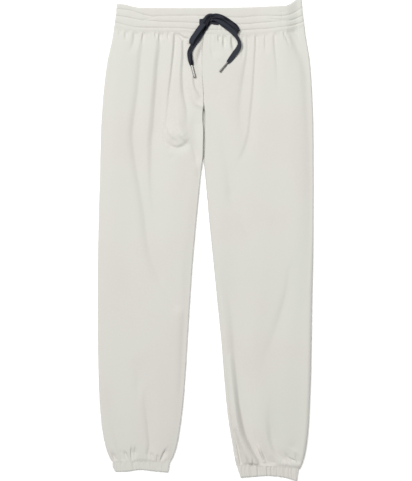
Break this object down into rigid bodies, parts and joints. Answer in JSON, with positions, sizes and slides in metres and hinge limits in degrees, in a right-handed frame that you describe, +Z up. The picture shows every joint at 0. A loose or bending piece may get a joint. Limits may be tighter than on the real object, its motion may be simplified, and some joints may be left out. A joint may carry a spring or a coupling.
{
  "type": "pyjama pants",
  "caption": "Off-white jogger pyjama pants laid flat, front up, with an elastic waistband, gathered ankle cuffs and a flat navy drawstring tied in a bow.",
  "frame": {"origin": "on the surface that the pants lie on, under the middle of their outline", "axes": "+Y towards the waist, +X to the right as seen from above, +Z up out of the front of the pants"},
  "size_m": [0.4522, 1.016, 0.0176],
  "materials": {
    "jersey": "matte knitted jersey",
    "elastic_casing": "the same jersey stitched over elastic",
    "drawstring": "matte flat woven tape",
    "metal_tips": "smooth dark metal"
  },
  "bodies": {
    "root": {"back_leg_left": "jersey", "back_leg_right": "jersey", "front_leg_left": "jersey", "front_leg_right": "jersey", "waistband_back": "elastic_casing", "waistband_front": "elastic_casing", "cuff_left_back": "elastic_casing", "cuff_left_front": "elastic_casing", "cuff_right_back": "elastic_casing", "cuff_right_front": "elastic_casing", "cord_knot": "drawstring", "cord_stub_left": "drawstring", "cord_stub_right": "drawstring", "cord_loop_left": "drawstring", "cord_loop_right": "drawstring", "cord_tail_left": "drawstring", "cord_tail_right": "drawstring", "aglet_left": "metal_tips", "aglet_right": "metal_tips"}
  },
  "joints": []
}
